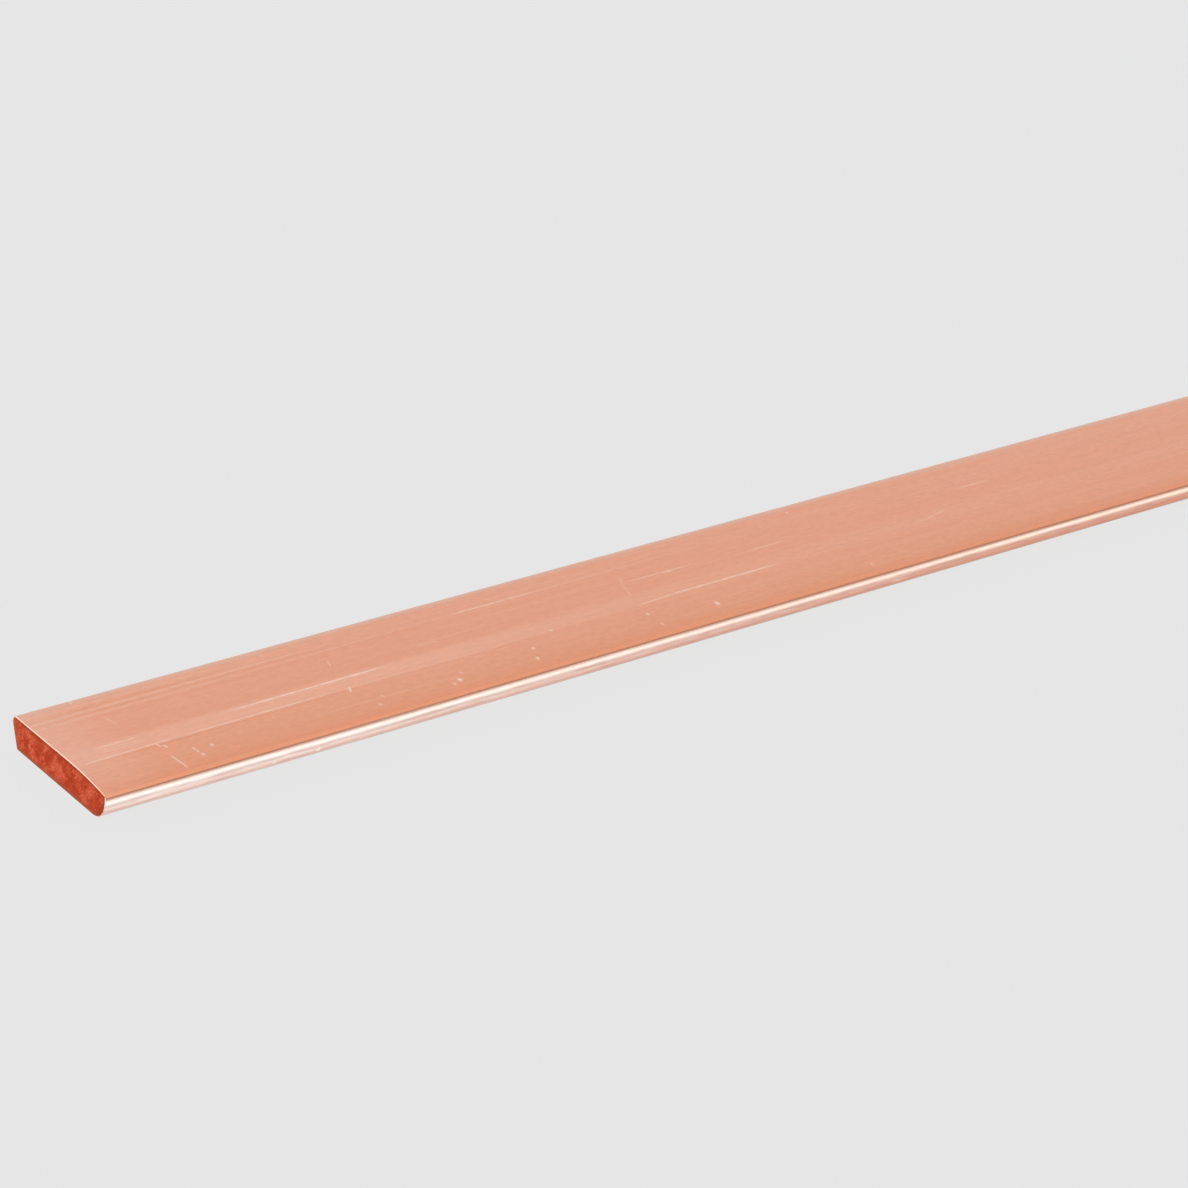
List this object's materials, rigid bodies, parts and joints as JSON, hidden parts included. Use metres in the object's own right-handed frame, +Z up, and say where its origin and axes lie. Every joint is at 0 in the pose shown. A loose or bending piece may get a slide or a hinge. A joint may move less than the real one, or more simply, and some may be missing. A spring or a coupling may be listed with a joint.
{
  "type": "copper busbar",
  "caption": "Flat bare copper bar with an upright back edge, a rounded front edge and square sawn ends; carries current between terminals.",
  "frame": {"origin": "middle of the bar's length and width, on its underside", "axes": "+X along the bar's length, +Y across its width towards the upright edge, +Z up through its thickness"},
  "size_m": [1, 0.03, 0.005],
  "materials": {
    "copper": "bright drawn copper, satin, with fine streaks along the length"
  },
  "bodies": {
    "root": {"busbar": "copper"}
  },
  "joints": []
}
